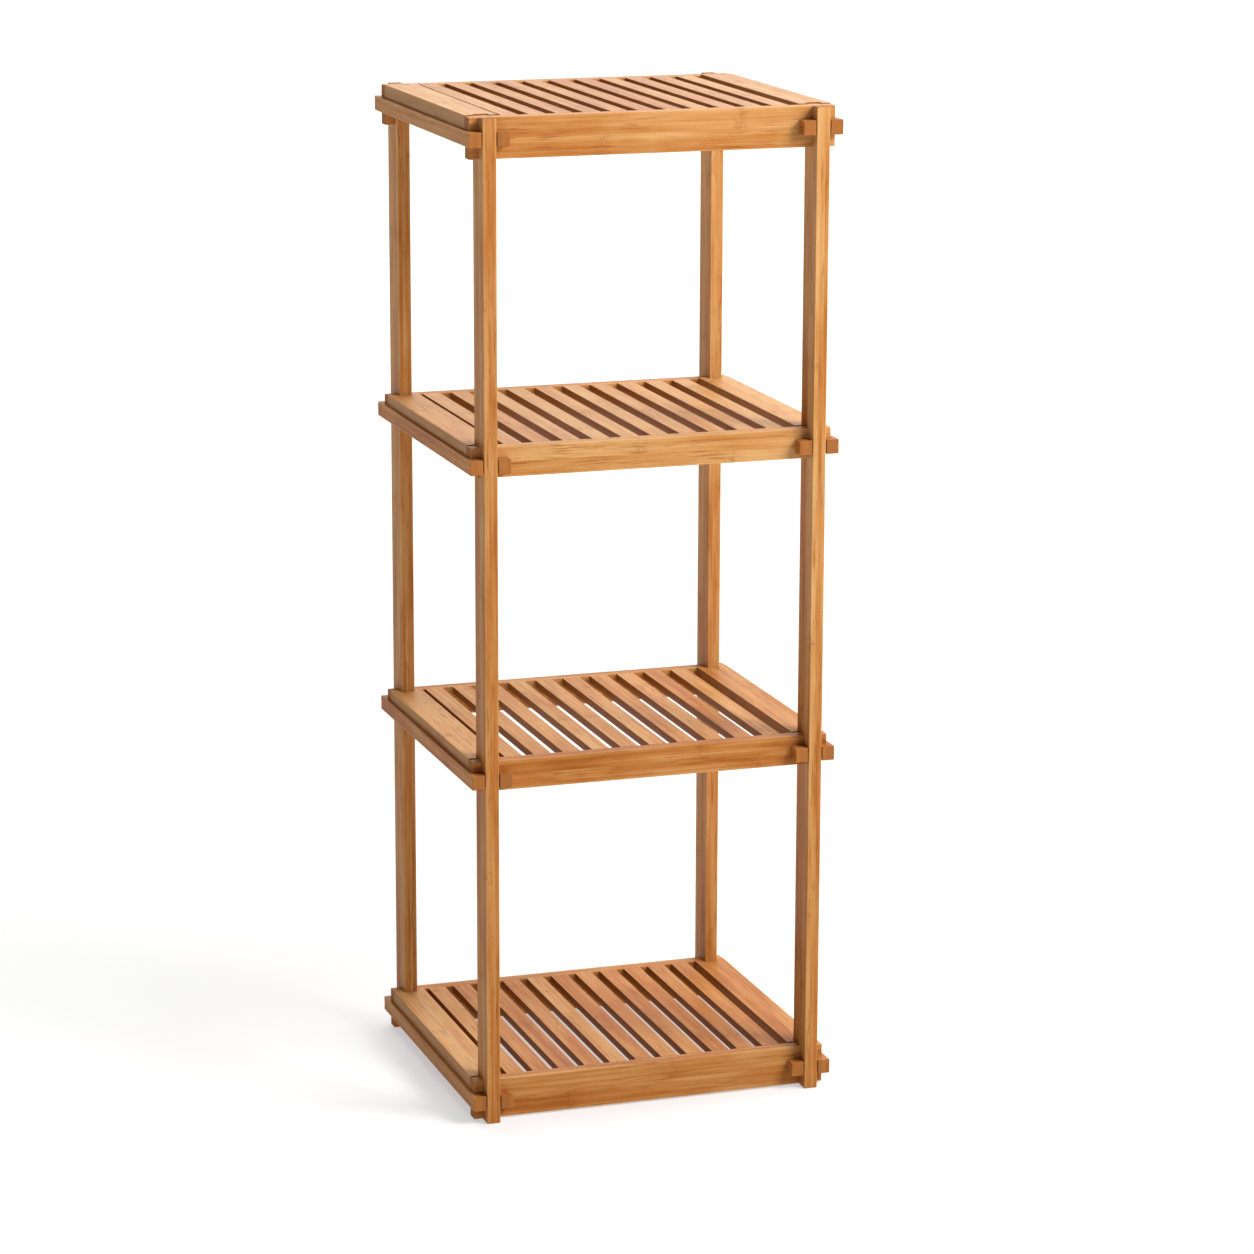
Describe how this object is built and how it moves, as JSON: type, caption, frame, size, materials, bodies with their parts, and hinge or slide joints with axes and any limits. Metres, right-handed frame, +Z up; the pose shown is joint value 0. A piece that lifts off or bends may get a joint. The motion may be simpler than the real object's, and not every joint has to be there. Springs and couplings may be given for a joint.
{
  "type": "tiered shoe rack",
  "caption": "Free-standing bamboo tower with slatted tiers on upright posts, for shoes; boards pass through the posts and cross rails lock them.",
  "frame": {"origin": "on the floor, under the middle of the tower", "axes": "+Z up along the posts, +X to the right across the front, +Y from the front to the back"},
  "size_m": [0.416, 0.37, 1.101],
  "materials": {
    "posts": "clear satin lacquer on honey bamboo",
    "long_boards": "clear satin lacquer on honey bamboo",
    "side_planks": "clear satin lacquer on honey bamboo",
    "rails": "clear satin lacquer on honey bamboo",
    "slats": "clear satin lacquer on honey bamboo",
    "dowels": "plain turned beech",
    "screws": "zinc-plated steel"
  },
  "bodies": {
    "root": {"post_front_left": "posts", "post_front_right": "posts", "post_back_left": "posts", "post_back_right": "posts", "top_front_board": "long_boards", "top_back_board": "long_boards", "top_side_plank_left": "side_planks", "top_side_plank_right": "side_planks", "top_rail_outer_left": "rails", "top_rail_inner_left": "rails", "top_rail_inner_right": "rails", "top_rail_outer_right": "rails", "top_slats": "slats", "top_plank_dowels": "dowels", "top_post_screws": "screws", "upper_front_board": "long_boards", "upper_back_board": "long_boards", "upper_side_plank_left": "side_planks", "upper_side_plank_right": "side_planks", "upper_rail_outer_left": "rails", "upper_rail_inner_left": "rails", "upper_rail_inner_right": "rails", "upper_rail_outer_right": "rails", "upper_slats": "slats", "upper_plank_dowels": "dowels", "upper_post_screws": "screws", "lower_front_board": "long_boards", "lower_back_board": "long_boards", "lower_side_plank_left": "side_planks", "lower_side_plank_right": "side_planks", "lower_rail_outer_left": "rails", "lower_rail_inner_left": "rails", "lower_rail_inner_right": "rails", "lower_rail_outer_right": "rails", "lower_slats": "slats", "lower_plank_dowels": "dowels", "lower_post_screws": "screws", "bottom_front_board": "long_boards", "bottom_back_board": "long_boards", "bottom_side_plank_left": "side_planks", "bottom_side_plank_right": "side_planks", "bottom_rail_outer_left": "rails", "bottom_rail_inner_left": "rails", "bottom_rail_inner_right": "rails", "bottom_rail_outer_right": "rails", "bottom_slats": "slats", "bottom_plank_dowels": "dowels", "bottom_post_screws": "screws"}
  },
  "joints": []
}
